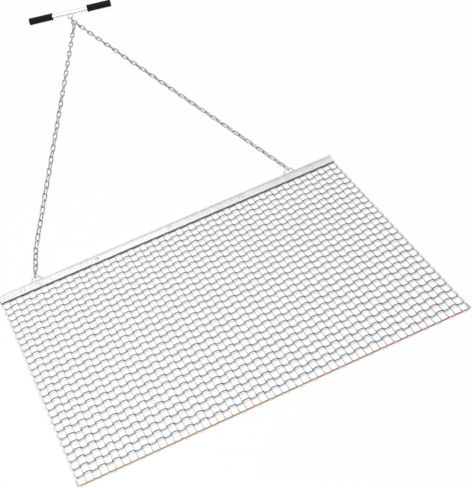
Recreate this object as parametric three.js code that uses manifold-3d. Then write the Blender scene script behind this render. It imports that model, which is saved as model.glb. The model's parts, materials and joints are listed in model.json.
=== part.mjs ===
// A towed drag mat: a clamped front bar, a mat of flat-wire rows that hinge on cross rods,
// two chain legs that meet in one link, and a pull handle with rubber grips.
// Millimetres. X runs along the bar, Y towards the handle, Z up from the ground.
import * as THREE from "three";
import { mergeVertices } from "three/addons/utils/BufferGeometryUtils.js";
import Module from "manifold-3d";

const wasm = await Module();
wasm.setup();

// Fits: the running gap between pieces that touch, how far a cutter runs past what it
// cuts, and how deep two links of one chain section sink into each other.
const CLEARANCE = 0.3;
const CUT_OVERRUN = 5;
const LINK_WELD = 1;

// The mat. Its strip is drawn as a ladder of LADDER_GAPS wide gaps in every row.
const COLUMN_PITCH = 27.5;
const COLUMN_COUNT = 55;
const ROW_PITCH = 44;
const ROW_COUNT = 27;
const LADDER_GAPS = 9;
const STRIP_THICKNESS = 1.5;
const STRIP_HEIGHT = 10;
const ROD_DIAMETER = 6;
const ROD_OVERHANG = 8.25;
const ROD_SIDES = 4;

// The bar: an angle iron over the front row, with a clamp strip under it.
const CLAMP_THICKNESS = 3;
const BAR_THICKNESS = 4;
const BAR_DEPTH = 38;
const BAR_MARGIN = 5.75;
const LIP_HEIGHT = 14.7;
const FRONT_EDGE = 8;
const HINGE_INSET = 3;
const STRIP_INSET = 7;

// The rivets, one every RIVET_COLUMNS columns.
const RIVET_COUNT = 5;
const RIVET_COLUMNS = 12;
const RIVET_SETBACK = 19;
const RIVET_SHANK = 8;
const RIVET_HEAD = 18;
const RIVET_HEAD_HEIGHT = 4.5;
const RIVET_TAIL = 13;
const RIVET_SIDES = 12;
const DOME_STEPS = 3;

// The pull loops: bent rods welded to the front of the lip, each its own inset from the
// side of the mesh.
const LOOP_ROD = 8;
const LOOP_SIDES = 8;
const LOOP_BASE = 44;
const LOOP_TOP = 22;
const LOOP_RISE = 15;
const LOOP_FOOT = 11;
const LOOP_SHOULDER = 3;
const LEFT_LOOP_INSET = 164.25;
const RIGHT_LOOP_INSET = 191.25;

// The chain: links of round wire, in rigid sections between the hinged places.
const LINK_PITCH = 51.5;
const LINK_WIRE = 5.6;
const LINK_HALF_WIDTH = 8.7;
const LINK_SIDES = 4;
const TIP_SIDES = 6;
const CROWN_FLAT = 5.4;
const CROWN_DEPTH = 3.3;
const CHAIN_HEIGHT = 11.5;
const END_LINK_ANGLE = 10;
const ROLL_STEP_ANGLE = 10;
const QUARTER_TURN_ANGLE = 90;

// Each leg: the links of its sections, how far its links lean at most, and which way its
// first run heads, in degrees from straight ahead towards +X. The first run is the end
// link and the first section. From there on the leg lies straight to the apex.
const FIRST_RUN_COUNT = 2;
const LEFT_SECTION_COUNTS = [4, 8, 8, 8, 8, 8];
const LEFT_LEAN_ANGLE = 34;
const LEFT_HEADING_ANGLE = 12.8;
const RIGHT_SECTION_COUNTS = [2, 8, 8, 8, 8, 8];
const RIGHT_LEAN_ANGLE = 72;
const RIGHT_HEADING_ANGLE = -1.5;

// The link that holds both legs, and the link between it and the handle.
const APEX_HEIGHT = 13.5;
const APEX_WIRE = 6;
const APEX_LENGTH = 38;
const APEX_HALF_WIDTH = 13.5;
const APEX_CHAMFER = 2.5;
const TIP_SPACING = 14;
const HANDLE_LINK_LENGTH = 38;
const HANDLE_LINK_ANGLE = 3;

// The handle: a tube held by a U-bolt with two nuts, and a grip on each end.
const HANDLE_HEIGHT = 21.3;
const HANDLE_ANGLE = -19.5;
const TUBE_DIAMETER = 22.2;
const TUBE_WALL = 1.6;
const TUBE_SIDES = 16;
const BARE_TUBE = 203;
const GRIP_LENGTH = 133;
const GRIP_DIAMETER = 38.5;
const GRIP_COLLAR = 42;
const GRIP_COLLAR_WIDTH = 5;
const GRIP_END_WALL = 5;
const GRIP_ROUNDING = 3;
const U_BOLT_OFFSET = 7;
const U_BOLT_SPREAD = 28;
const U_BOLT_DROP = 76;
const U_BOLT_WIRE = 6;
const U_BOLT_BEND_STEPS = 6;
const U_BOLT_SIDES = 6;
const NUT_WIDTH = 10;
const NUT_HEIGHT = 5;
const BOLT_END = 3;

// Places worked out from the sizes above.
const MESH_WIDTH = COLUMN_PITCH * COLUMN_COUNT;
const BAR_LENGTH = MESH_WIDTH + BAR_MARGIN + BAR_MARGIN;
const BAR_REAR = FRONT_EDGE - BAR_DEPTH;
const RIVET_LINE = FRONT_EDGE - RIVET_SETBACK;
const RIVET_PITCH = RIVET_COLUMNS * COLUMN_PITCH;
const CLAMPED_STRIP_BASE = CLAMP_THICKNESS + CLEARANCE;
const BAR_BASE = CLAMPED_STRIP_BASE + STRIP_HEIGHT + CLEARANCE;
const BAR_TOP = BAR_BASE + BAR_THICKNESS;
const LIP_TOP = BAR_BASE + LIP_HEIGHT;
const LEFT_LOOP_X = LEFT_LOOP_INSET - MESH_WIDTH / 2;
const RIGHT_LOOP_X = MESH_WIDTH / 2 - RIGHT_LOOP_INSET;
const HINGE_Y = BAR_REAR + HINGE_INSET;
const CLAMPED_ROD_Z = CLAMPED_STRIP_BASE + STRIP_HEIGHT / 2;
const ROD_Z = STRIP_HEIGHT / 2;
const ROD_LENGTH = MESH_WIDTH + ROD_OVERHANG + ROD_OVERHANG;
const FIRST_ROW_TILT = Math.asin((CLAMPED_ROD_Z - ROD_Z) / ROW_PITCH);

const Y_AXIS = new THREE.Vector3(0, 1, 0);
const Z_AXIS = new THREE.Vector3(0, 0, 1);

// A finish: the photo's colour, and how rough and how metallic it looks.
function finish(color, roughness, metalness) {
  return { color, roughness, metalness };
}

const GALVANISED = finish(0xc3c6c8, 0.45, 0.9);
const BARE_STEEL = finish(0x8d9093, 0.4, 0.9);
const ORANGE_PAINT = finish(0xc8552b, 0.5, 0.1);
const ZINC = finish(0xb4b7ba, 0.3, 1);
const BRIGHT_TUBE = finish(0xd6d9da, 0.3, 0.9);
const BLACK_RUBBER = finish(0x1b1b1c, 0.8, 0);

// The corner radius of a many-sided section whose area is that of a round one.
function sectionRadius(diameter, sides) {
  const turn = (Math.PI + Math.PI) / sides;
  return (diameter / 2) * Math.sqrt(turn / Math.sin(turn));
}

function radians(degrees) {
  return THREE.MathUtils.degToRad(degrees);
}

// The angle of one corner of a many-sided section.
function ringAngle(index, sides) {
  return ((Math.PI + Math.PI) * index) / sides;
}

// A named mesh with its own material, at a place in its group.
function piece(name, geometry, look, place = new THREE.Vector3()) {
  geometry.computeVertexNormals();
  const mesh = new THREE.Mesh(geometry, new THREE.MeshStandardMaterial(look));
  mesh.name = name;
  mesh.position.copy(place);
  return mesh;
}

// A geometry's shared vertices merged, so that only positions and faces are left.
function welded(geometry) {
  geometry.deleteAttribute("normal");
  geometry.deleteAttribute("uv");
  return mergeVertices(geometry);
}

// A closed geometry as a solid that can be joined and cut.
function solid(geometry) {
  const closed = welded(geometry);
  return new wasm.Manifold(
    new wasm.Mesh({
      numProp: 3,
      vertProperties: closed.attributes.position.array,
      triVerts: new Uint32Array(closed.index.array),
    }),
  );
}

// The faces of a joined or cut solid as a geometry again.
function geometryOf(body) {
  const mesh = body.getMesh();
  const geometry = new THREE.BufferGeometry();
  geometry.setAttribute("position", new THREE.BufferAttribute(mesh.vertProperties, 3));
  geometry.setIndex(new THREE.BufferAttribute(mesh.triVerts, 1));
  return geometry;
}

// Several solids joined into one.
function joined(solids) {
  return solids.reduce((whole, next) => whole.add(next));
}

// A box between two corners.
function block(low, high) {
  const size = new THREE.Vector3().subVectors(high, low);
  const middle = new THREE.Vector3().addVectors(low, high).multiplyScalar(1 / 2);
  return new THREE.BoxGeometry(size.x, size.y, size.z).translate(middle.x, middle.y, middle.z);
}

// A rod of many-sided section along points in one plane, whose corners are mitred. The
// section's first corner points to the left of the way that the points run.
function bentRod(points, normal, radius, sides, closed) {
  const positions = [];
  const faces = [];
  const count = points.length;
  points.forEach((point, i) => {
    const before = closed ? points[(i + count - 1) % count] : points[Math.max(i - 1, 0)];
    const after = closed ? points[(i + 1) % count] : points[Math.min(i + 1, count - 1)];
    const into = new THREE.Vector3().subVectors(point, before);
    const out = new THREE.Vector3().subVectors(after, point);
    if (into.lengthSq() === 0) into.copy(out);
    if (out.lengthSq() === 0) out.copy(into);
    const along = into.normalize().add(out.normalize()).normalize();
    const side = new THREE.Vector3().crossVectors(normal, along);
    const mitre = 1 / along.dot(out);
    for (let j = 0; j < sides; j += 1) {
      const angle = ringAngle(j, sides);
      const corner = point.clone();
      corner.addScaledVector(side, radius * mitre * Math.cos(angle));
      corner.addScaledVector(normal, radius * Math.sin(angle));
      positions.push(corner.x, corner.y, corner.z);
    }
  });
  const rings = closed ? count : count - 1;
  for (let i = 0; i < rings; i += 1) {
    const here = i * sides;
    const there = ((i + 1) % count) * sides;
    for (let j = 0; j < sides; j += 1) {
      const k = (j + 1) % sides;
      faces.push(here + j, here + k, there + k);
      faces.push(here + j, there + k, there + j);
    }
  }
  if (!closed) {
    const last = (count - 1) * sides;
    for (let j = 1; j < sides - 1; j += 1) {
      faces.push(0, j + 1, j);
      faces.push(last, last + j, last + j + 1);
    }
  }
  const geometry = new THREE.BufferGeometry();
  geometry.setAttribute("position", new THREE.Float32BufferAttribute(positions, 3));
  geometry.setIndex(faces);
  return geometry;
}

// A straight cross rod along X, with its axis through the origin.
function crossRod() {
  const half = ROD_LENGTH / 2;
  const ends = [new THREE.Vector3(-half, 0, 0), new THREE.Vector3(half, 0, 0)];
  return bentRod(ends, Z_AXIS, sectionRadius(ROD_DIAMETER, ROD_SIDES), ROD_SIDES, false);
}

// The X of each leg of a ladder row.
function legPlaces() {
  const half = (MESH_WIDTH - STRIP_THICKNESS) / 2;
  const places = [];
  for (let i = 0; i <= LADDER_GAPS; i += 1) {
    places.push(THREE.MathUtils.lerp(-half, half, i / LADDER_GAPS));
  }
  return places;
}

// The legs of a ladder row, between two distances from the rod that the row hinges on.
function legs(nearY, farY) {
  const low = -STRIP_HEIGHT / 2;
  return legPlaces().map((x) => {
    const left = x - STRIP_THICKNESS / 2;
    const right = x + STRIP_THICKNESS / 2;
    const corner = new THREE.Vector3(left, Math.min(nearY, farY), low);
    return solid(block(corner, new THREE.Vector3(right, Math.max(nearY, farY), -low)));
  });
}

// How far from a rod's axis the strip that wraps it starts.
function rodReach() {
  return sectionRadius(ROD_DIAMETER, ROD_SIDES) + CLEARANCE;
}

// The row that the bar clamps: its legs run forward from its rod.
function frontRow() {
  const reach = FRONT_EDGE - STRIP_INSET - HINGE_Y;
  return geometryOf(joined([solid(crossRod()), ...legs(0, reach)]));
}

// A row of the mat: legs from the rod that it hinges on to its own rod.
function meshRow() {
  const rod = solid(crossRod().translate(0, -ROW_PITCH, 0));
  return geometryOf(joined([rod, ...legs(-rodReach(), -ROW_PITCH)]));
}

// The last row: one strip in a square wave, with holes for the separate rear rod.
function lastRow() {
  const front = -rodReach();
  const rear = -ROW_PITCH - rodReach() - STRIP_THICKNESS;
  const low = -STRIP_HEIGHT / 2;
  const places = legPlaces();
  const crests = places.slice(1).map((x, i) => {
    const y = i % 2 === 0 ? rear : front - STRIP_THICKNESS;
    const left = places[i] - STRIP_THICKNESS / 2;
    const right = x + STRIP_THICKNESS / 2;
    const corner = new THREE.Vector3(left, y, low);
    return solid(block(corner, new THREE.Vector3(right, y + STRIP_THICKNESS, -low)));
  });
  const half = ROD_LENGTH / 2 + CUT_OVERRUN;
  const axis = [new THREE.Vector3(-half, -ROW_PITCH, 0), new THREE.Vector3(half, -ROW_PITCH, 0)];
  const hole = bentRod(axis, Z_AXIS, rodReach(), ROD_SIDES, false);
  return geometryOf(joined([...crests, ...legs(front, rear)]).subtract(solid(hole)));
}

// A turned solid about Z through a place on the rivet line.
function turned(outline, sides, x) {
  const points = outline.map(([radius, height]) => new THREE.Vector2(radius, height));
  const lathe = new THREE.LatheGeometry(points, sides).rotateX(Math.PI / 2);
  return lathe.translate(x, RIVET_LINE, 0);
}

// The X of each rivet.
function rivetPlaces() {
  const places = [];
  for (let i = 0; i < RIVET_COUNT; i += 1) {
    places.push((i - (RIVET_COUNT - 1) / 2) * RIVET_PITCH);
  }
  return places;
}

// A rivet: a countersunk tail, a shank and a domed head, as radius and height.
function rivetOutline() {
  const headBase = BAR_TOP + CLEARANCE;
  const outline = [
    [0, 0],
    [RIVET_TAIL / 2, 0],
    [RIVET_SHANK / 2, CLAMP_THICKNESS],
    [RIVET_SHANK / 2, headBase],
  ];
  for (let i = 0; i <= DOME_STEPS; i += 1) {
    const angle = (Math.PI / 2) * (i / DOME_STEPS);
    const radius = i === DOME_STEPS ? 0 : (RIVET_HEAD / 2) * Math.cos(angle);
    outline.push([radius, headBase + RIVET_HEAD_HEIGHT * Math.sin(angle)]);
  }
  return outline;
}

// What the rivets cut from the clamp strip and the bar.
function rivetHole(x) {
  const wide = RIVET_TAIL / 2 + CLEARANCE;
  const narrow = RIVET_SHANK / 2 + CLEARANCE;
  const outline = [
    [0, -CUT_OVERRUN],
    [wide, -CUT_OVERRUN],
    [wide, 0],
    [narrow, CLAMP_THICKNESS],
    [narrow, BAR_TOP + CUT_OVERRUN],
    [0, BAR_TOP + CUT_OVERRUN],
  ];
  return solid(turned(outline, RIVET_SIDES, x));
}

// A solid with a hole for every rivet.
function drilled(body) {
  return rivetPlaces().reduce((rest, x) => rest.subtract(rivetHole(x)), body);
}

// The angle iron: a flange over the front row and a lip along its front edge.
function frontBar() {
  const outline = new THREE.Shape();
  outline.moveTo(BAR_REAR, BAR_BASE);
  outline.lineTo(FRONT_EDGE, BAR_BASE);
  outline.lineTo(FRONT_EDGE, LIP_TOP);
  outline.lineTo(FRONT_EDGE - BAR_THICKNESS, LIP_TOP);
  outline.lineTo(FRONT_EDGE - BAR_THICKNESS, BAR_TOP);
  outline.lineTo(BAR_REAR, BAR_TOP);
  outline.closePath();
  const iron = new THREE.ExtrudeGeometry(outline, { depth: BAR_LENGTH, bevelEnabled: false });
  iron.rotateX(Math.PI / 2).rotateZ(Math.PI / 2).translate(-BAR_LENGTH / 2, 0, 0);
  return geometryOf(drilled(solid(iron)));
}

// The flat strip that the rivets pull up against the front row.
function clampStrip() {
  const half = BAR_LENGTH / 2;
  const low = new THREE.Vector3(-half, HINGE_Y, 0);
  const high = new THREE.Vector3(half, FRONT_EDGE, CLAMP_THICKNESS);
  return geometryOf(drilled(solid(block(low, high))));
}

// A pull loop, with the middle of its top bar at the origin.
function pullLoop() {
  const foot = LOOP_BASE / 2;
  const top = LOOP_TOP / 2;
  const shoulder = LOOP_RISE + LOOP_SHOULDER;
  const points = [
    new THREE.Vector3(-foot, 0, -LOOP_RISE - LOOP_FOOT),
    new THREE.Vector3(-foot, 0, -shoulder),
    new THREE.Vector3(-top, 0, 0),
    new THREE.Vector3(top, 0, 0),
    new THREE.Vector3(foot, 0, -shoulder),
    new THREE.Vector3(foot, 0, -LOOP_RISE - LOOP_FOOT),
  ];
  return bentRod(points, Y_AXIS, sectionRadius(LOOP_ROD, LOOP_SIDES), LOOP_SIDES, false);
}

// A link along X whose crowns' inner faces are at start and end, rolled about X.
function linkRing(start, end, wire, halfWidth, flat, depth, sides, roll) {
  const radius = sectionRadius(wire, sides);
  const far = end + radius;
  const near = start - radius;
  const outline = [
    [far, -flat],
    [far, flat],
    [far - depth, halfWidth],
    [near + depth, halfWidth],
    [near, flat],
    [near, -flat],
    [near + depth, -halfWidth],
    [far - depth, -halfWidth],
  ];
  const points = outline.map(([x, y]) => new THREE.Vector3(x, y, 0));
  return bentRod(points, Z_AXIS, radius, sides, true).rotateX(radians(roll));
}

// A leg's description: its side, its loop's X, its first run's heading, the links of its
// sections, how far its links lean, and the X of its tip from the apex.
function legOf(side, loopX, headingAngle, sections, leanAngle, tipX) {
  const linkCount = sections.reduce((sum, count) => sum + count, 1);
  return { side, loopX, heading: radians(headingAngle), sections, leanAngle, tipX, linkCount };
}

const LEFT_LEG = legOf("left", LEFT_LOOP_X, LEFT_HEADING_ANGLE, LEFT_SECTION_COUNTS,
  LEFT_LEAN_ANGLE, -TIP_SPACING / 2);
const RIGHT_LEG = legOf("right", RIGHT_LOOP_X, RIGHT_HEADING_ANGLE, RIGHT_SECTION_COUNTS,
  RIGHT_LEAN_ANGLE, TIP_SPACING / 2);

// The roll of a link, counted from the apex: every second link is a quarter turn further
// round, and both ends of the leg stand upright.
function linkRoll(index, leg) {
  const fromEnd = Math.min(index, leg.linkCount - 1 - index);
  const lean = -Math.min(leg.leanAngle, ROLL_STEP_ANGLE * fromEnd);
  return index % 2 === 0 ? lean + QUARTER_TURN_ANGLE : lean;
}

// A rigid run of links along X from its first pivot, which is at the origin.
function chainSection(firstIndex, linkCount, leg) {
  const links = [];
  for (let i = 0; i < linkCount; i += 1) {
    const index = firstIndex - i;
    const startGap = i === 0 ? -CLEARANCE / 2 : LINK_WELD / 2;
    const endGap = i === linkCount - 1 ? -CLEARANCE / 2 : LINK_WELD / 2;
    const start = i * LINK_PITCH + startGap;
    const end = (i + 1) * LINK_PITCH - endGap;
    const sides = index === 0 ? TIP_SIDES : LINK_SIDES;
    const roll = linkRoll(index, leg);
    const width = LINK_HALF_WIDTH;
    const ring = linkRing(start, end, LINK_WIRE, width, CROWN_FLAT, CROWN_DEPTH, sides, roll);
    links.push(solid(ring));
  }
  return geometryOf(joined(links));
}

// How far behind a loop's axis the end link starts, and how far past the apex link's
// lower bar the last link ends.
const LOOP_HOLD = sectionRadius(LOOP_ROD, LOOP_SIDES) + CLEARANCE;
const APEX_HOLD = sectionRadius(APEX_WIRE, TIP_SIDES) + CLEARANCE;
const LOOP_Y = FRONT_EDGE + CLEARANCE + sectionRadius(LOOP_ROD, LOOP_SIDES);
const LOOP_Z = LIP_TOP + LOOP_RISE;

// A leg's stretches from the loop to the apex, each with its length, its drop and its
// reach, which is its length from above.
function stretches(leg) {
  const endLength = LINK_PITCH - LOOP_HOLD;
  const endDrop = endLength * Math.sin(radians(END_LINK_ANGLE));
  const list = [{ length: endLength, drop: endDrop }];
  leg.sections.forEach((count, i) => {
    const last = i === leg.sections.length - 1;
    const length = count * LINK_PITCH - (last ? APEX_HOLD : 0);
    let drop = 0;
    if (i === 0) drop = LOOP_Z - endDrop - CHAIN_HEIGHT;
    if (last) drop = CHAIN_HEIGHT - APEX_HEIGHT;
    list.push({ length, drop });
  });
  return list.map(({ length, drop }) => {
    return { length, drop, reach: Math.sqrt(length * length - drop * drop) };
  });
}

// The length from above of several stretches.
function reachOf(list) {
  return list.reduce((sum, { reach }) => sum + reach, 0);
}

// Where a leg's first run ends, from above.
function turnPlace(leg) {
  const reach = reachOf(stretches(leg).slice(0, FIRST_RUN_COUNT));
  const x = leg.loopX + reach * Math.sin(leg.heading);
  return new THREE.Vector3(x, LOOP_Y + reach * Math.cos(leg.heading), 0);
}

// Where both legs meet: the middle of the apex link's lower bar, from above. It is the
// third corner of a triangle whose sides are the straight runs of both legs.
function apexPlace() {
  const corner = turnPlace(LEFT_LEG);
  corner.x -= LEFT_LEG.tipX;
  const base = turnPlace(RIGHT_LEG);
  base.x -= RIGHT_LEG.tipX;
  base.sub(corner);
  const left = reachOf(stretches(LEFT_LEG).slice(FIRST_RUN_COUNT));
  const right = reachOf(stretches(RIGHT_LEG).slice(FIRST_RUN_COUNT));
  const span = base.length();
  const along = (left * left - right * right + span * span) / (span + span);
  const ahead = new THREE.Vector3().crossVectors(Z_AXIS, base).normalize();
  corner.addScaledVector(base.normalize(), along);
  corner.addScaledVector(ahead, Math.sqrt(left * left - along * along));
  return corner.setZ(APEX_HEIGHT);
}

// One leg: its end link and its sections, one pivot after another.
function chainLeg(leg) {
  const apex = apexPlace();
  const turn = turnPlace(leg);
  const straight = Math.atan2(apex.y - turn.y, apex.x + leg.tipX - turn.x);
  const group = new THREE.Group();
  const place = new THREE.Vector3(leg.loopX, LOOP_Y, LOOP_Z);
  let index = leg.linkCount - 1;
  stretches(leg).forEach(({ length, drop, reach }, i) => {
    const end = linkRing(-LOOP_HOLD, length + CLEARANCE / 2, LINK_WIRE, LINK_HALF_WIDTH,
      CROWN_FLAT, CROWN_DEPTH, LINK_SIDES, QUARTER_TURN_ANGLE);
    const shape = i === 0 ? end : chainSection(index, leg.sections[i - 1], leg);
    const name = i === 0 ? `${leg.side}_end_link` : `${leg.side}_chain_${i}`;
    const section = piece(name, shape, ZINC, place);
    const heading = i < FIRST_RUN_COUNT ? Math.PI / 2 - leg.heading : straight;
    section.rotation.order = "ZYX";
    section.rotation.z = heading;
    section.rotation.y = Math.asin(drop / length);
    group.add(section);
    index -= i === 0 ? 1 : leg.sections[i - 1];
    place.add(new THREE.Vector3(reach * Math.cos(heading), reach * Math.sin(heading), -drop));
  });
  return group;
}

// A hexagon nut with its bore along Y, between the tube and the bolt's end.
function nut() {
  const corner = sectionRadius(NUT_WIDTH, TIP_SIDES);
  const bore = sectionRadius(U_BOLT_WIRE, U_BOLT_SIDES) + CLEARANCE;
  const outline = new THREE.Shape();
  const hole = new THREE.Path();
  for (let i = 0; i < TIP_SIDES; i += 1) {
    const angle = ringAngle(i, TIP_SIDES);
    const move = i === 0 ? "moveTo" : "lineTo";
    outline[move](corner * Math.cos(angle), corner * Math.sin(angle));
    hole[move](bore * Math.cos(angle), bore * Math.sin(angle));
  }
  outline.closePath();
  hole.closePath();
  outline.holes.push(hole);
  const block = new THREE.ExtrudeGeometry(outline, { depth: NUT_HEIGHT, bevelEnabled: false });
  return welded(block.rotateX(-Math.PI / 2));
}

// The U-bolt's wire, with its legs through the tube along Y and its bend at the front.
function uBolt() {
  const bend = U_BOLT_SPREAD / 2;
  const straight = -(U_BOLT_DROP - bend);
  const end = TUBE_DIAMETER / 2 + CLEARANCE + NUT_HEIGHT + BOLT_END;
  const points = [new THREE.Vector3(bend, end, 0)];
  for (let i = 0; i <= U_BOLT_BEND_STEPS; i += 1) {
    const angle = (Math.PI * i) / U_BOLT_BEND_STEPS;
    const x = bend * Math.cos(angle);
    points.push(new THREE.Vector3(x, straight - bend * Math.sin(angle), 0));
  }
  points.push(new THREE.Vector3(-bend, end, 0));
  const radius = sectionRadius(U_BOLT_WIRE, U_BOLT_SIDES);
  return bentRod(points, Z_AXIS, radius, U_BOLT_SIDES, false);
}

// A turned solid about X, from an outline of radius and place along X.
function turnedAlongX(outline, sides) {
  const points = outline.map(([radius, along]) => new THREE.Vector2(radius, along));
  return new THREE.LatheGeometry(points, sides).rotateZ(-Math.PI / 2);
}

// The handle's tube, with holes for the U-bolt's legs through both walls.
function handleTube() {
  const outer = TUBE_DIAMETER / 2;
  const inner = outer - TUBE_WALL;
  const half = BARE_TUBE / 2 + GRIP_LENGTH - GRIP_END_WALL - CLEARANCE;
  const outline = [
    [inner, -half],
    [outer, -half],
    [outer, half],
    [inner, half],
    [inner, -half],
  ];
  const bore = sectionRadius(U_BOLT_WIRE, U_BOLT_SIDES) + CLEARANCE;
  const reach = outer + CUT_OVERRUN;
  const holes = [-1, 1].map((side) => {
    const x = U_BOLT_OFFSET + (side * U_BOLT_SPREAD) / 2;
    const ends = [new THREE.Vector3(x, -reach, 0), new THREE.Vector3(x, reach, 0)];
    return solid(bentRod(ends, Z_AXIS, bore, U_BOLT_SIDES, false));
  });
  return geometryOf(solid(turnedAlongX(outline, TUBE_SIDES)).subtract(joined(holes)));
}

// A grip with its collar at the origin and its closed end out along X.
function grip() {
  const bore = TUBE_DIAMETER / 2 + CLEARANCE;
  const body = GRIP_DIAMETER / 2;
  const outline = [
    [0, GRIP_LENGTH - GRIP_END_WALL],
    [bore, GRIP_LENGTH - GRIP_END_WALL],
    [bore, 0],
    [GRIP_COLLAR / 2, 0],
    [GRIP_COLLAR / 2, GRIP_COLLAR_WIDTH],
    [body, GRIP_COLLAR_WIDTH],
    [body, GRIP_LENGTH - GRIP_ROUNDING],
    [body - GRIP_ROUNDING, GRIP_LENGTH],
    [0, GRIP_LENGTH],
  ];
  return welded(turnedAlongX(outline, TUBE_SIDES));
}

// The bar, what it clamps, its rivets and its pull loops.
function barGroup() {
  const group = new THREE.Group();
  group.add(piece("front_bar", frontBar(), GALVANISED));
  group.add(piece("clamp_strip", clampStrip(), GALVANISED));
  const rodPlace = new THREE.Vector3(0, HINGE_Y, CLAMPED_ROD_Z);
  group.add(piece("front_row", frontRow(), BARE_STEEL, rodPlace));
  rivetPlaces().forEach((x, i) => {
    const shape = welded(turned(rivetOutline(), RIVET_SIDES, x));
    group.add(piece(`rivet_${i + 1}`, shape, ZINC));
  });
  const leftLoop = new THREE.Vector3(LEFT_LOOP_X, LOOP_Y, LOOP_Z);
  const rightLoop = new THREE.Vector3(RIGHT_LOOP_X, LOOP_Y, LOOP_Z);
  group.add(piece("left_pull_loop", pullLoop(), GALVANISED, leftLoop));
  group.add(piece("right_pull_loop", pullLoop(), GALVANISED, rightLoop));
  return group;
}

// The mat's rows, the first one sloping down from the bar to the ground.
function meshGroup() {
  const group = new THREE.Group();
  const firstSpan = ROW_PITCH * Math.cos(FIRST_ROW_TILT);
  for (let row = 1; row <= ROW_COUNT; row += 1) {
    const y = HINGE_Y - (row === 1 ? 0 : firstSpan + (row - 2) * ROW_PITCH);
    const place = new THREE.Vector3(0, y, row === 1 ? CLAMPED_ROD_Z : ROD_Z);
    const shape = row === ROW_COUNT ? lastRow() : meshRow();
    const name = `mesh_row_${String(row).padStart(2, "0")}`;
    const mesh = piece(name, shape, BARE_STEEL, place);
    mesh.rotation.x = row === 1 ? FIRST_ROW_TILT : 0;
    group.add(mesh);
  }
  const rearY = HINGE_Y - firstSpan - (ROW_COUNT - 1) * ROW_PITCH;
  group.add(piece("rear_rod", crossRod(), ORANGE_PAINT, new THREE.Vector3(0, rearY, ROD_Z)));
  return group;
}

// The apex link, the handle link and the handle, one pivot after another.
function pullGroup() {
  const group = new THREE.Group();
  const apex = apexPlace();
  const wireRadius = sectionRadius(APEX_WIRE, TIP_SIDES);
  const apexEnd = wireRadius + APEX_LENGTH;
  const flat = APEX_HALF_WIDTH - APEX_CHAMFER;
  const apexRing = linkRing(wireRadius, apexEnd, APEX_WIRE, APEX_HALF_WIDTH,
    flat, APEX_CHAMFER, TIP_SIDES, 0);
  group.add(piece("apex_link", apexRing.rotateZ(Math.PI / 2), ZINC, apex));

  // The handle link hangs on the apex link's far bar, whose axis it turns about.
  const apexFar = apexEnd + wireRadius;
  const linkEnd = HANDLE_LINK_LENGTH - wireRadius - CLEARANCE;
  const crown = linkEnd + sectionRadius(LINK_WIRE, TIP_SIDES);
  const slope = Math.asin((HANDLE_HEIGHT - APEX_HEIGHT) / crown);
  const linkShape = linkRing(-wireRadius - CLEARANCE, linkEnd, LINK_WIRE, LINK_HALF_WIDTH,
    CROWN_FLAT, CROWN_DEPTH, TIP_SIDES, QUARTER_TURN_ANGLE);
  const handleLink = piece("handle_link", linkShape, ZINC);
  handleLink.position.set(apex.x, apex.y + apexFar, apex.z);
  handleLink.rotation.order = "ZYX";
  handleLink.rotation.z = Math.PI / 2 + radians(HANDLE_LINK_ANGLE);
  handleLink.rotation.y = -slope;
  group.add(handleLink);

  // The handle turns about the link's far crown, which lies inside the U-bolt's bend.
  const turn = Math.PI / 2 + radians(HANDLE_LINK_ANGLE);
  const handle = new THREE.Group();
  handle.position.set(Math.cos(turn), Math.sin(turn), 0).multiplyScalar(crown * Math.cos(slope));
  handle.position.add(handleLink.position).setZ(HANDLE_HEIGHT);
  handle.rotation.z = radians(HANDLE_ANGLE);
  const bend = U_BOLT_SPREAD / 2;
  const slip = radians(HANDLE_LINK_ANGLE - HANDLE_ANGLE);
  const sag = bend * (1 - Math.cos(Math.PI / (U_BOLT_BEND_STEPS + U_BOLT_BEND_STEPS)));
  const wires = sectionRadius(U_BOLT_WIRE, U_BOLT_SIDES) + sectionRadius(LINK_WIRE, TIP_SIDES);
  const inside = bend - wires - CLEARANCE - sag;
  const boltX = -inside * Math.sin(slip);
  const boltY = U_BOLT_DROP - bend + inside * Math.cos(slip);
  handle.add(piece("u_bolt", uBolt(), ZINC, new THREE.Vector3(boltX, boltY, 0)));
  const nutY = boltY + TUBE_DIAMETER / 2 + CLEARANCE + NUT_HEIGHT;
  handle.add(piece("u_bolt_nut_1", nut(), ZINC, new THREE.Vector3(boltX - bend, nutY, 0)));
  handle.add(piece("u_bolt_nut_2", nut(), ZINC, new THREE.Vector3(boltX + bend, nutY, 0)));
  const tubeX = boltX - U_BOLT_OFFSET;
  handle.add(piece("handle_tube", handleTube(), BRIGHT_TUBE, new THREE.Vector3(tubeX, boltY, 0)));
  const gripX = BARE_TUBE / 2;
  const right = new THREE.Vector3(tubeX + gripX, boltY, 0);
  const left = new THREE.Vector3(tubeX - gripX, boltY, 0);
  handle.add(piece("right_grip", grip(), BLACK_RUBBER, right));
  const leftGrip = piece("left_grip", grip(), BLACK_RUBBER, left);
  leftGrip.rotation.z = Math.PI;
  handle.add(leftGrip);
  group.add(handle);
  return group;
}

const dragMat = new THREE.Group();
dragMat.add(barGroup());
dragMat.add(meshGroup());
dragMat.add(chainLeg(LEFT_LEG));
dragMat.add(chainLeg(RIGHT_LEG));
dragMat.add(pullGroup());

export default dragMat;
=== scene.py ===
"""A towed drag mat of flat steel wire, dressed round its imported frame.

X runs along the front bar, Y from the mat to the handle and Z up from the ground. Sizes
are written in millimetres and become metres where a mesh is made. Angles are in degrees.
"""

import json
import logging
import math
from collections.abc import Callable, Iterator
from contextlib import contextmanager
from dataclasses import dataclass
from enum import Enum
from functools import partial

import bmesh
import bpy
from mathutils import Matrix, Vector


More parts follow.
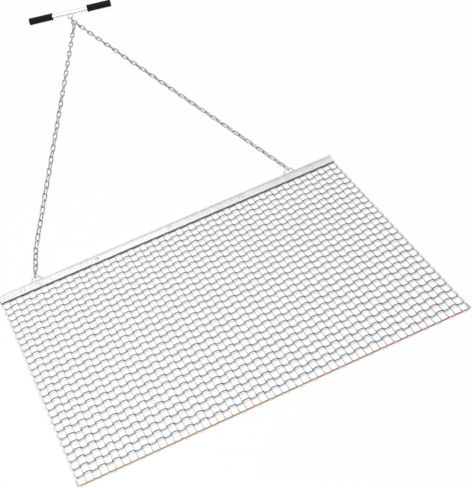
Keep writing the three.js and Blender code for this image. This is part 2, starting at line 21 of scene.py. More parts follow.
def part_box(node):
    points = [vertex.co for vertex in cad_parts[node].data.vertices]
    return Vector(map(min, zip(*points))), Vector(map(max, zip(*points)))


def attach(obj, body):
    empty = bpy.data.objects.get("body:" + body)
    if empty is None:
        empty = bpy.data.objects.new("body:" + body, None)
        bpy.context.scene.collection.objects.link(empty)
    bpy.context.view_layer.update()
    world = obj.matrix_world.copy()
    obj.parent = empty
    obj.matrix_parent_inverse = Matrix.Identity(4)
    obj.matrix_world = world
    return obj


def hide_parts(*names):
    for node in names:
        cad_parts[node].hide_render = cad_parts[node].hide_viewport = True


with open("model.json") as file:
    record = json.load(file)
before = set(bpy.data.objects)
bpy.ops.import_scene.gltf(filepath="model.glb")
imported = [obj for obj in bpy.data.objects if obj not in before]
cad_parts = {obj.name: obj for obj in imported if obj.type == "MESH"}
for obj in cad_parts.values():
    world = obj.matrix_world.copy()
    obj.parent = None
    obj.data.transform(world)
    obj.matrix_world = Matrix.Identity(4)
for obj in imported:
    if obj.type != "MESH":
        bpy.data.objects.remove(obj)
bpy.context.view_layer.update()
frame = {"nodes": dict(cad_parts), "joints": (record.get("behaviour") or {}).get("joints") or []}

LOG = logging.getLogger("drag_mat")
MM = 0.001
# Vertices closer than this are one.
SEAM = 0.01 * MM
# A direction whose share along an axis is larger than this runs along it.
ALONG = 0.9
# Places this many millimetres apart count as the same.
NEAR = 0.01
# Noise stays mostly between these values, so a look is spread over them.
NOISE_RANGE = (0.3, 0.7)
# The handle lies turned about Z by this angle.
HANDLE_TURN = -19.5
# Where each joint turns, in millimetres.
PLACES = {joint["name"]: Vector(joint["pos_m"]) / MM for joint in frame["joints"]}

Item = bpy.types.Object
Socket = bpy.types.NodeSocket
Outputs = bpy.types.bpy_prop_collection
Inputs = dict[str | int, object]
Adder = Callable[..., Outputs]
Span = tuple[float, float]
Triple = tuple[float, float, float]


# Materials


def linear(code: str) -> tuple[float, ...]:
    """Turns an sRGB colour into a linear one.

    Args:
        code: Six hex digits, two each for red, green and blue.

    Returns:
        Linear red, green, blue and alpha.
    """
    parts = [int(code[i : i + 2], 16) / 255 for i in (0, 2, 4)]
    lit = [p / 12.92 if p <= 0.04045 else ((p + 0.055) / 1.055) ** 2.4 for p in parts]
    return (*lit, 1.0)


def per_size(size: float) -> float:
    """The scale of a texture whose features are this many millimetres wide."""
    return 1 / (size * MM)


def fill(node: bpy.types.Node, inputs: Inputs | tuple[object, ...]) -> None:
    """Sets or links a node's inputs.

    Args:
        node: The node.
        inputs: A plain value or a socket to link for each input, by name or in turn.
    """
    for key, value in inputs.items() if isinstance(inputs, dict) else enumerate(inputs):
        if isinstance(value, Socket):
            node.id_data.links.new(value, node.inputs[key])
        else:
            node.inputs[key].default_value = value


def add_node(
    tree: bpy.types.NodeTree, kind: str, inputs: Inputs | tuple[object, ...] = (), **settings: object
) -> Outputs:
    """Adds one node with its settings, values and links.

    Args:
        tree: The node tree.
        kind: The node's type, without its first words ShaderNode.
        inputs: A plain value or a socket to link for each input, by name or in turn.
        settings: Attributes of the node itself.

    Returns:
        The node's outputs.
    """
    node = tree.nodes.new("ShaderNode" + kind)
    for name, value in settings.items():
        setattr(node, name, value)
    fill(node, inputs)
    return node.outputs


def blank_material(name: str) -> tuple[bpy.types.Material, bpy.types.Node]:
    """Makes a material that holds a shader.

    Args:
        name: The material's name.

    Returns:
        The material and its Principled shader.
    """
    material = bpy.data.materials.new(name)
    material.use_nodes = True
    return material, next(n for n in material.node_tree.nodes if n.type == "BSDF_PRINCIPLED")


@dataclass(frozen=True)
class Finish:
    """What every finish has: a name, a slot, and the material that it is made into once."""

    name: str = "finish"
    slot: str = "bare_steel"

    def material(self) -> bpy.types.Material:
        """Finds the finish's material, or makes it.

        Returns:
            The material.
        """
        found = bpy.data.materials.get(self.name)
        if found:
            return found
        material, shader = blank_material(self.name)
        fill(shader, self.sockets(partial(add_node, material.node_tree)))
        return material

    def sockets(self, add: Adder) -> Inputs:
        """What goes into the shader: a value, or a socket to link, by the input's name."""
        raise NotImplementedError


@dataclass(frozen=True)
class GalvanisedIron(Finish):
    """Hot-dip galvanised angle iron: zinc crystals a few millimetres wide, each a shade
    lighter or darker, under a cloudy film that is dull here and brighter there."""

    name: str = "galvanised_iron"
    slot: str = "galvanised_steel"
    pale: str = "e8e9e9"
    dull: str = "d8d9da"
    metallic: float = 0.35
    roughness: Span = (0.34, 0.5)
    contrast: Span = (0.05, 0.55)
    crystal_size: float = 7.0
    cloud_size: float = 160.0
    dross_size: float = 1.6
    dross_height: float = 0.3

    def sockets(self, add: Adder) -> Inputs:
        """Draws the crystals, the clouds and the dross that stands up in grains.

        Args:
            add: Adds a node to the material.

        Returns:
            The shader's inputs.
        """
        place = add("TexCoord")["Object"]
        cells = add("TexVoronoi", {"Vector": place, "Scale": per_size(self.crystal_size)})
        shade = add("SeparateColor", (cells["Color"],))
        film = {"Vector": place, "Scale": per_size(self.cloud_size), "Detail": 4.0, "Roughness": 0.6}
        clouds = add("TexNoise", film)["Fac"]
        both = add("Math", (shade["Red"], clouds), operation="MULTIPLY")["Value"]
        share = add("MapRange", (both, *self.contrast, 1.0, 0.0))["Result"]
        grains = {"Vector": place, "Scale": per_size(self.dross_size), "Detail": 3.0}
        dross = add("TexNoise", grains)["Fac"]
        relief = {"Height": dross, "Strength": 0.25, "Distance": self.dross_height * MM}
        tint = {"Factor": share, 6: linear(self.dull), 7: linear(self.pale)}
        return {
            "Base Color": add("Mix", tint, data_type="RGBA")[2],
            "Metallic": self.metallic,
            "Roughness": add("MapRange", (shade["Green"], 0.0, 1.0, *self.roughness))["Result"],
            "Normal": add("Bump", relief)["Normal"],
        }


@dataclass(frozen=True)
class DrawnRod(Finish):
    """Zinc-coated drawn rod: a pale satin grey with drawn streaks along it, greyer where
    the strips rub, and small dull specks."""

    name: str = "drawn_rod"
    bright: str = "eef0f2"
    worn: str = "d2d6d9"
    metallic: float = 0.5
    roughness: Span = (0.5, 0.32)
    contrast: Span = (0.75, 1.25)
    streak_length: float = 60.0
    streak_width: float = 3.0
    speck_size: float = 5.0

    def share(self, add: Adder) -> Socket:
        """Draws the streaks and specks.

        Args:
            add: Adds a node to the material.

        Returns:
            The share that is bright.
        """
        place = add("TexCoord")["Object"]
        length, width = per_size(self.streak_length), per_size(self.streak_width)
        drawn = add("Mapping", {"Vector": place, "Scale": (length, width, width)})["Vector"]
        grain = {"Vector": drawn, "Scale": 1.0, "Detail": 5.0, "Roughness": 0.6}
        streaks = add("TexNoise", grain)["Fac"]
        specks = add("TexNoise", {"Vector": place, "Scale": per_size(self.speck_size), "Detail": 2.0})
        both = add("Math", (streaks, specks["Fac"]), operation="ADD")["Value"]
        return add("MapRange", (both, *self.contrast))["Result"]

    def sockets(self, add: Adder) -> Inputs:
        """Blends the colours and the gloss by the streaks and specks.

        Args:
            add: Adds a node to the material.

        Returns:
            The shader's inputs.
        """
        share = self.share(add)
        tint = {"Factor": share, 6: linear(self.worn), 7: linear(self.bright)}
        return {
            "Base Color": add("Mix", tint, data_type="RGBA")[2],
            "Metallic": self.metallic,
            "Roughness": add("MapRange", (share, 0.0, 1.0, *self.roughness))["Result"],
        }


@dataclass(frozen=True)
class RolledStrip(DrawnRod):
    """Zinc-coated flat wire: near-white and satin, with rolled streaks. Its upper edge is
    darkened with painted shade, most of all where it wraps a rod. The painted shade is
    lighter on the outermost legs."""

    name: str = "rolled_strip"
    bright: str = "f6f7f8"
    worn: str = "e4e7ea"
    metallic: float = 0.2
    roughness: Span = (0.42, 0.65)
    # Painted shade, and where it falls on the strip.
    painted_shade: str = "3a3c3d"
    row_pitch: float = 44.0
    shade_from: float = 7.4
    wrap_reach: float = 8.0
    leg_share: float = 0.6
    outer_leg: float = 752.0
    outer_share: float = 0.6
    fade: float = 0.8

    def sockets(self, add: Adder) -> Inputs:
        """Lays painted shade over the streaks and specks of clean wire.

        Args:
            add: Adds a node to the material.

        Returns:
            The shader's inputs.
        """
        wire = super().sockets(add)
        at = add("SeparateXYZ", (add("TexCoord")["Object"],))
        rod, half_row = PLACES["mat_roll_02"].y * MM, self.row_pitch / 2 * MM
        moved = add("Math", (at["Y"], rod), operation="SUBTRACT")["Value"]
        off_rod = add("Math", (moved, half_row), operation="PINGPONG")["Value"]
        out = add("Math", (at["X"],), operation="ABSOLUTE")["Value"]
        # The share of painted shade: full near a rod and the leg share further off, none below the start
        # height, and less on the outermost legs.
        dark = None
        for distance, edge, width, shares in (
            (off_rod, self.wrap_reach, 2 * self.fade, (1.0, self.leg_share)),
            (at["Z"], self.shade_from, self.fade, (0.0, 1.0)),
            (out, self.outer_leg, 2 * self.fade, (1.0, self.outer_share)),
        ):
            step = add("MapRange", (distance, edge * MM, (edge + width) * MM, *shares))["Result"]
            dark = add("Math", (dark, step), operation="MULTIPLY")["Value"] if dark else step
        # The painted shade is mixed into the wire's colour, and its share sets the roughness.
        shade_tint = {"Factor": dark, 6: wire["Base Color"], 7: linear(self.painted_shade)}
        wire["Base Color"] = add("Mix", shade_tint, data_type="RGBA")[2]
        wire["Roughness"] = add("MapRange", (dark, 0.0, 1.0, *self.roughness))["Result"]
        return wire


@dataclass(frozen=True)
class BrightZinc(Finish):
    """Bright zinc plating on welded chain: a mirror-like grey that is cloudier in patches
    and has fine tumbling marks."""

    name: str = "bright_zinc"
    slot: str = "zinc_steel"
    light: str = "c3c4c4"
    shaded: str = "828384"
    metallic: float = 1.0
    roughness: Span = (0.36, 0.2)
    contrast: Span = (0.35, 0.65)
    patch_size: float = 14.0
    mark_size: float = 1.5
    mark_depth: float = 0.15

    def sockets(self, add: Adder) -> Inputs:
        """Draws the patches and the tumbling marks.

        Args:
            add: Adds a node to the material.

        Returns:
            The shader's inputs.
        """
        place = add("TexCoord")["Object"]
        clouds = {"Vector": place, "Scale": per_size(self.patch_size), "Detail": 4.0}
        patches = add("TexNoise", clouds)["Fac"]
        share = add("MapRange", (patches, *self.contrast))["Result"]
        tint = {"Factor": share, 6: linear(self.shaded), 7: linear(self.light)}
        marks = add("TexNoise", {"Vector": place, "Scale": per_size(self.mark_size), "Detail": 2.0})
        relief = {"Height": marks["Fac"], "Strength": 0.2, "Distance": self.mark_depth * MM}
        return {
            "Base Color": add("Mix", tint, data_type="RGBA")[2],
            "Metallic": self.metallic,
            "Roughness": add("MapRange", (patches, *NOISE_RANGE, *self.roughness))["Result"],
            "Normal": add("Bump", relief)["Normal"],
        }


# The rivets and the U-bolt are newer and cleaner than the chain.
PALE_ZINC = BrightZinc("pale_zinc", light="dfe1e3", shaded="b4b8bc")


@dataclass(frozen=True)
class OrangePaint(Finish):
    """Air-dried enamel on the rear rod: a dusty orange, yellower towards the left end
    where the coat is thin. It is chipped in spots, and worn to the steel on the hooked ends
    and where the strip's rear crests rub, in every second column."""

    name: str = "orange_enamel"
    slot: str = "orange_paint"
    thin: str = "c88c40"
    thick: str = "bc6432"
    steel: str = "c2c5c7"
    roughness: Span = (0.42, 0.6)
    half_length: float = 760.0
    painted_half: float = 742.0
    column: float = 27.47
    rub: Span = (0.46, 0.54)
    chip_size: float = 9.0
    chip_level: Span = (0.62, 0.68)

    def sockets(self, add: Adder) -> Inputs:
        """Lays the coat on the steel, and takes it off where it is worn or chipped.

        Args:
            add: Adds a node to the material.

        Returns:
            The shader's inputs.
        """
        place, half = add("TexCoord")["Object"], self.half_length * MM
        x = add("SeparateXYZ", (place,))["X"]
        along = add("MapRange", (x, -half, half))["Result"]
        tint = {"Factor": along, 6: linear(self.thin), 7: linear(self.thick)}
        coat = add("Mix", tint, data_type="RGBA")[2]
        spots = {"Vector": place, "Scale": per_size(self.chip_size), "Detail": 6.0, "Roughness": 0.7}
        chips = add("TexNoise", spots)["Fac"]
        # The middle column has a front crest, which leaves the rod's rear side its paint.
        away = add("Math", (x, self.column * MM), operation="PINGPONG")["Value"]
        rubbed = add("MapRange", (away, *(self.column * part * MM for part in self.rub)))["Result"]
        out = add("Math", (x,), operation="ABSOLUTE")["Value"]
        ends = (self.painted_half * MM, (self.painted_half + 1.0) * MM)
        bare = add("MapRange", (chips, *self.chip_level))["Result"]
        for worn in (rubbed, add("MapRange", (out, *ends))["Result"]):
            bare = add("Math", (bare, worn), operation="MAXIMUM")["Value"]
        metal = {"Factor": bare, 6: coat, 7: linear(self.steel)}
        return {
            "Base Color": add("Mix", metal, data_type="RGBA")[2],
            "Roughness": add("MapRange", (chips, *NOISE_RANGE, *self.roughness))["Result"],
        }


@dataclass(frozen=True)
class DrawnTube(Finish):
    """Bright plated steel tube: near-white metal with faint draw lines along the tube and
    soft smears from handling."""

    name: str = "drawn_tube"
    slot: str = "bright_tube"
    clean: str = "d9dbdc"
    smeared: str = "bcc0c2"
    metallic: float = 1.0
    roughness: Span = (0.3, 0.18)
    contrast: Span = (0.35, 0.65)
    line_length: float = 90.0
    line_width: float = 1.8

    def sockets(self, add: Adder) -> Inputs:
        """Draws the lines along the turned tube.

        Args:
            add: Adds a node to the material.

        Returns:
            The shader's inputs.
        """
        place = add("TexCoord")["Object"]
        length, width = per_size(self.line_length), per_size(self.line_width)
        turn = (0.0, 0.0, math.radians(-HANDLE_TURN))
        drawn = add("Mapping", {"Vector": place, "Rotation": turn, "Scale": (length, width, width)})
        lines = add("TexNoise", {"Vector": drawn["Vector"], "Scale": 1.0, "Detail": 4.0})["Fac"]
        share = add("MapRange", (lines, *self.contrast))["Result"]
        tint = {"Factor": share, 6: linear(self.smeared), 7: linear(self.clean)}
        return {
            "Base Color": add("Mix", tint, data_type="RGBA")[2],
            "Metallic": self.metallic,
            "Roughness": add("MapRange", (lines, *NOISE_RANGE, *self.roughness))["Result"],
        }


@dataclass(frozen=True)
class MouldedRubber(Finish):
    """Moulded black rubber: matt, with a fine diamond grip pattern, and greyer where dust
    and palms have polished the high spots."""

    name: str = "moulded_rubber"
    slot: str = "black_rubber"
    black: str = "060607"
    dusty: str = "121213"
    roughness: float = 0.62
    specular: float = 0.15
    diamond_size: float = 5.0
    diamond_height: float = 0.6
    dust_size: float = 22.0
    dust_level: Span = (0.4, 0.75)

    def sockets(self, add: Adder) -> Inputs:
        """Draws the dust, and presses the diamonds where two waves cross.

        Args:
            add: Adds a node to the material.

        Returns:
            The shader's inputs.
        """
        place = add("TexCoord")["Object"]
        grime = {"Vector": place, "Scale": per_size(self.dust_size), "Detail": 5.0}
        share = add("MapRange", (add("TexNoise", grime)["Fac"], *self.dust_level))["Result"]
        tint = {"Factor": share, 6: linear(self.black), 7: linear(self.dusty)}
        waves = []
        for slant in (45.0, -45.0):
            turn = (0.0, 0.0, math.radians(slant - HANDLE_TURN))
            turned = add("Mapping", {"Vector": place, "Rotation": turn})["Vector"]
            spacing = per_size(self.diamond_size) / math.tau
            waves.append(add("TexWave", {"Vector": turned, "Scale": spacing})["Fac"])
        height = add("Math", tuple(waves), operation="MAXIMUM")["Value"]
        relief = {"Height": height, "Strength": 0.6, "Distance": self.diamond_height * MM}
        return {
            "Base Color": add("Mix", tint, data_type="RGBA")[2],
            "Roughness": self.roughness,
            "Specular IOR Level": self.specular,
            "Normal": add("Bump", relief)["Normal"],
        }


# Workbench


class Domain(Enum):
    """What an edit-mode selection picks."""

    VERTS = "VERT"
    EDGES = "EDGE"
    FACES = "FACE"


class Closing(Enum):
    """How a wire's two ends are left."""

    OPEN_ENDS = "NGON"
    RING = "NOTHING"


def select_only(*objects: Item) -> None:
    """Selects objects alone, in object mode.

    Args:
        objects: The objects, of which the first becomes active.
    """
    bpy.ops.object.select_all(action="DESELECT")
    for item in objects:
        item.select_set(True)
    bpy.context.view_layer.objects.active = objects[0]


@contextmanager
def editing(item: Item) -> Iterator[None]:
    """Opens edit mode on one object, with nothing selected in it.

    Args:
        item: The object.

    Yields:
        Nothing. Object mode comes back afterwards.
    """
    select_only(item)
    bpy.ops.object.mode_set(mode="EDIT")
    bpy.ops.mesh.select_all(action="DESELECT")
    yield
    bpy.ops.object.mode_set(mode="OBJECT")


def pick(domain: Domain, test: Callable[[Vector, Vector], bool]) -> None:
    """Selects what passes a test in edit mode, and deselects the rest.

    Args:
        domain: Whether vertices, edges or faces are tested.
        test: Takes a place in millimetres and a direction: a face's or vertex's normal,
            or an edge's own direction.
    """
    bpy.ops.mesh.select_mode(type=domain.value)
    bpy.ops.mesh.select_all(action="DESELECT")
    data = bpy.context.edit_object.data
    mesh = bmesh.from_edit_mesh(data)
    found = [(v, v.co, v.normal) for v in mesh.verts]
    if domain is Domain.FACES:
        found = [(face, face.calc_center_median(), face.normal) for face in mesh.faces]
    elif domain is Domain.EDGES:
        ends = [(edge, *(v.co for v in edge.verts)) for edge in mesh.edges]
        found = [(edge, (a + b) / 2, (b - a).normalized()) for edge, a, b in ends]
    for element, place, way in found:
        if test(place / MM, way):
            element.select_set(True)
    mesh.select_flush_mode()
    bmesh.update_edit_mesh(data)


def extrude(step: Vector) -> None:
    """Extrudes the selection by a step in millimetres."""
    bpy.ops.mesh.extrude_region_move(TRANSFORM_OT_translate={"value": tuple(step * MM)})


def bevel(radius: float, segments: int) -> None:
    """Rounds the selected edges to a radius in millimetres."""
    bpy.ops.mesh.bevel(offset=radius * MM, segments=segments, affect="EDGES")


def close_seams() -> None:
    """Merges the doubles of the mesh in edit mode, and turns its faces outwards."""
    bpy.ops.mesh.select_all(action="SELECT")
    bpy.ops.mesh.remove_doubles(threshold=SEAM)
    bpy.ops.mesh.normals_make_consistent(inside=False)


def settle(item: Item) -> None:
    """Puts an object's place, turn and scale into its mesh."""
    select_only(item)
    bpy.ops.object.transform_apply(location=True, rotation=True, scale=True)


def primitive(add: Callable[..., set[str]], **settings: object) -> Item:
    """Adds a primitive while nothing else is selected.

    Args:
        add: The operator that adds it.
        settings: The operator's settings.

    Returns:
        The new object.
    """
    bpy.ops.object.select_all(action="DESELECT")
    add(**settings)
    return bpy.context.active_object


def placed(item: Item, place: Matrix) -> Item:
    """Moves an object's mesh.

    Args:
        item: The object, which stays at the origin.
        place: Where the mesh goes, in millimetres.

    Returns:
        The object.
    """
    in_metres = place.copy()
    in_metres.translation = place.translation * MM
    item.matrix_world = in_metres
    settle(item)
    return item


def moved_copy(master: Item, place: Matrix) -> Item:
    """Copies an object with its mesh, and moves the copy's mesh.

    Args:
        master: The object to copy.
        place: Where the copy goes, in millimetres.

    Returns:
        The copy.
    """
    copy = master.copy()
    copy.data = master.data.copy()
    bpy.context.scene.collection.objects.link(copy)
    return placed(copy, place)


def merged(parts: list[Item]) -> Item:
    """Joins objects into the first of them.

    Args:
        parts: The objects.

    Returns:
        The joined piece.
    """
    select_only(*parts)
    if len(parts) > 1:
        bpy.ops.object.join()
    return parts[0]


def modify(item: Item, kind: str, **settings: object) -> None:
    """Adds a modifier and applies it.

    Args:
        item: The object.
        kind: The modifier's type.
        settings: Its settings.
    """
    modifier = item.modifiers.new(kind, kind)
    for name, value in settings.items():
        setattr(modifier, name, value)
    select_only(item)
    bpy.ops.object.modifier_apply(modifier=modifier.name)


def smooth(item: Item, angle: float) -> Item:
    """Shades an object smooth, except over sharp edges.

    Args:
        item: The object.
        angle: Edges sharper than this stay sharp.

    Returns:
        The object.
    """
    select_only(item)
    bpy.ops.object.shade_smooth_by_angle(angle=math.radians(angle))
    return item


def fit(item: Item, name: str, body: str, finish: Finish, *nodes: str) -> None:
    """Names and dresses a finished piece, and hands it to the frame.

    Args:
        item: The piece.
        name: Its name.
        body: The body that it rides on.
        finish: Its finish.
        nodes: The CAD nodes that it replaces.
    """
    item.name = item.data.name = name
    item.data.materials.clear()
    item.data.materials.append(finish.material())
    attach(item, body)
    if nodes:
        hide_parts(*nodes)
    LOG.info("%s on %s", name, body)


class WireBender:
    """Bends round wire in the XY plane, one run or bend after another, from the origin."""

    def __init__(self, wire: float, sides: int, closing: Closing) -> None:
        """Starts a wire along +X.

        Args:
            wire: The wire's diameter.
            sides: How many sides its section has.
            closing: Whether it has two ends or closes on itself.
        """
        self.item = primitive(
            bpy.ops.mesh.primitive_circle_add,
            vertices=sides,
            radius=wire / 2 * MM,
            fill_type=closing.value,
            rotation=(math.pi / 2, 0.0, math.pi / 2),
        )
        settle(self.item)
        self.place = Vector()
        self.heading = Vector((1.0, 0.0, 0.0))
        bpy.ops.object.mode_set(mode="EDIT")
        bpy.ops.mesh.select_all(action="SELECT")

    def run(self, length: float) -> "WireBender":
        """Adds a straight run.

        Args:
            length: How long it is.

        Returns:
            The bender itself.
        """
        step = self.heading * length
        extrude(step)
        self.place += step
        return self

    def bend(self, degrees: float, radius: float, steps: int) -> "WireBender":
        """Adds a bend, to the left where degrees is positive.

        Args:
            degrees: How far the wire turns.
            radius: The bend's radius at the wire's middle.
            steps: How many segments it takes.

        Returns:
            The bender itself.
        """
        left = Vector((-self.heading.y, self.heading.x, 0.0))
        centre = self.place + left * math.copysign(radius, degrees)
        bpy.ops.mesh.spin(
            steps=steps,
            angle=-math.radians(degrees),
            center=tuple(centre * MM),
            axis=(0.0, 0.0, 1.0),
            use_auto_merge=False,
        )
        turn = Matrix.Rotation(math.radians(degrees), 3, "Z")
        self.place = centre + turn @ (self.place - centre)
        self.heading = turn @ self.heading
        return self

    def swell(self, factor: float) -> "WireBender":
        """Scales the section that the wire has reached, and returns the bender itself."""
        bpy.ops.transform.resize(value=(factor,) * 3, center_override=tuple(self.place * MM))
        return self

    def done(self) -> Item:
        """Closes the wire's seams.

        Returns:
            The wire, in object mode.
        """
        close_seams()
        bpy.ops.object.mode_set(mode="OBJECT")
        return smooth(self.item, angle=50.0)


def turned_piece(outline: list[Span], steps: int, angle: float) -> Item:
    """Turns an outline about X, as on a lathe.

    Args:
        outline: Places along X and radii, from one end to the other.
        steps: How many segments the turn takes.
        angle: Edges sharper than this stay sharp.

    Returns:
        The turned object.
    """
    item = primitive(bpy.ops.mesh.primitive_plane_add, size=MM)
    with editing(item):
        bpy.ops.mesh.select_mode(type="VERT")
        bpy.ops.mesh.select_all(action="SELECT")
        bpy.ops.mesh.merge(type="CENTER")
        here = Vector()
        for point in outline:
            there = Vector((*point, 0.0))
            extrude(there - here)
            here = there
        start = Vector(outline[0])
        pick(Domain.VERTS, lambda place, _: place.length < NEAR < start.length)
        bpy.ops.mesh.delete(type="VERT")
        bpy.ops.mesh.select_all(action="SELECT")
        bpy.ops.mesh.spin(steps=steps, angle=math.tau, center=(0, 0, 0), axis=(1, 0, 0))
        close_seams()
    return smooth(item, angle)


# The mat


@dataclass(frozen=True)
class FlatWire:
    """The strips of the mat: flat wire on edge, in a square wave round two rods."""

    side: float = 755.5
    columns: int = 55
    height: float = 10.0
    thickness: float = 1.5
    crest: float = 4.75
    lean: float = 0.8
    corner: float = 6.5
    corner_steps: int = 3
    edge: float = 0.25

    def strip(self, front: float, rear: float) -> Item:
        """Folds one strip about the rod at the origin.

        Args:
            front: The Y of its front crests.
            rear: The Y of its rear crests.

        Returns:
            The strip, with its middle height at Z 0.
        """
        pitch = 2 * self.side / self.columns
        item = primitive(
            bpy.ops.mesh.primitive_plane_add,
            size=1.0,
            location=(-self.side * MM, (front + rear) / 2 * MM, 0.0),
            rotation=(0.0, math.pi / 2, 0.0),
        )
        item.scale = (self.height * MM, (front - rear) * MM, 1.0)
        settle(item)
        lean = Vector((self.lean, 0.0, 0.0))
        crest = Vector((pitch, 0.0, 0.0)) - lean * 2
        leg = Vector((2 * self.lean, front - rear, 0.0))
        with editing(item):
            for end, step in ((front, -lean), (rear, lean)):
                pick(Domain.EDGES, lambda at, way: abs(at.y - end) < NEAR and abs(way.z) > ALONG)
                bpy.ops.transform.translate(value=tuple(step * MM))
            for step in (crest, leg, crest):
                extrude(step)
        modify(
            item,
            "ARRAY",
            count=(self.columns + 1) // 2,
            use_relative_offset=False,
            use_constant_offset=True,
            constant_offset_displace=(2 * pitch * MM, 0.0, 0.0),
            use_merge_vertices=True,
            merge_threshold=SEAM,
        )
        end = self.side - self.lean * 2
        with editing(item):
            pick(Domain.FACES, lambda at, _: at.x > self.side + pitch / 4)
            bpy.ops.mesh.delete(type="FACE")
            # The strip's own ends, at its front crests' height, have no corner to round.
            pick(
                Domain.EDGES,
                lambda at, way: abs(way.z) > ALONG and (abs(at.x) < end or at.y < rear + NEAR),
            )
            bevel(self.corner, self.corner_steps)
        modify(item, "SOLIDIFY", thickness=self.thickness * MM, offset=0.0, use_even_offset=True)
        modify(item, "BEVEL", width=self.edge * MM, segments=1, angle_limit=math.radians(60))
        return smooth(item, angle=50.0)


@dataclass(frozen=True)
class CrossRod:
    """The rods of the mat: round wire whose two ends are bent forward past the strips."""

    diameter: float = 6.0
    half_length: float = 764.5
    bend_radius: float = 5.5
    hook: float = 26.0
    sides: int = 12

    def rod(self) -> Item:
        """Bends one rod.

        Returns:
            The rod, with its middle at the origin.
        """
        reach = self.half_length - self.diameter / 2 - self.bend_radius
        wire = WireBender(self.diameter, self.sides, Closing.OPEN_ENDS)
        wire.run(self.hook).bend(90.0, self.bend_radius, steps=4).run(reach).run(reach)
        item = wire.bend(90.0, self.bend_radius, steps=4).run(self.hook).done()
        middle = Vector((self.hook + self.bend_radius, self.bend_radius + reach, 0.0))
        return placed(item, Matrix.Rotation(-math.pi / 2, 4, "Z") @ Matrix.Translation(-middle))


@dataclass
class Mesh:
    """The mat's strips and rods, each on its row's body."""

    wire: FlatWire = FlatWire()
    rods: CrossRod = CrossRod()
    row_pitch: float = 44.0
    rows: int = 27
    clamped_reach: float = 27.0
    ground_lift: float = 0.4
    strip_finish: Finish = RolledStrip()
    # The clamped strip and rod lie under the bar and carry its painted shadow: the strip's painted shade
    # covers its legs fully, and the rod is painted dark grey.
    clamped_finish: Finish = RolledStrip("clamped_wire", shade_from=9.4, leg_share=1.0)
    shadowed_rod_finish: Finish = DrawnRod("shadowed_rod", bright="77797c", worn="55585a")
    rod_finish: Finish = DrawnRod()
    paint: Finish = OrangePaint()

    def build(self) -> None:
        """Builds the clamped strip, all the rows, and a rod in each."""
        crest = self.wire.crest
        strip = self.wire.strip(crest, -self.row_pitch - crest)
        rod = self.rods.rod()
        start = Matrix.Translation(PLACES["mat_roll_01"])
        clamped = placed(self.wire.strip(self.clamped_reach, -crest), start)
        # The clamped strip and rod carry painted shadow from the bar.
        fit(clamped, "clamped_strip", "bar", self.clamped_finish, "front_row")
        fit(moved_copy(rod, start), "clamped_rod", "bar", self.shadowed_rod_finish)
        for row in range(1, self.rows + 1):
            body = f"mesh_row_{row:02d}"
            hinge = PLACES[f"mat_roll_{row:02d}"]
            behind = hinge - Vector((0.0, self.row_pitch, 0.0))
            far = PLACES.get(f"mat_roll_{row + 1:02d}", behind)
            tilt = math.asin((hinge.z - far.z) / self.row_pitch)
            # The sloping strip's rear crests would dip into the ground without this lift.
            lift = Vector((0.0, 0.0, self.ground_lift if tilt > 0.0 else 0.0))
            place = Matrix.Translation(hinge + lift) @ Matrix.Rotation(tilt, 4, "X")
            fit(moved_copy(strip, place), f"strip_{row:02d}", body, self.strip_finish, body)
            finish, nodes = (self.rod_finish, ()) if row < self.rows else (self.paint, ("rear_rod",))
            fit(moved_copy(rod, Matrix.Translation(far)), f"rod_{row:02d}", body, finish, *nodes)
        for master in (strip, rod):
            bpy.data.objects.remove(master)


# The front bar


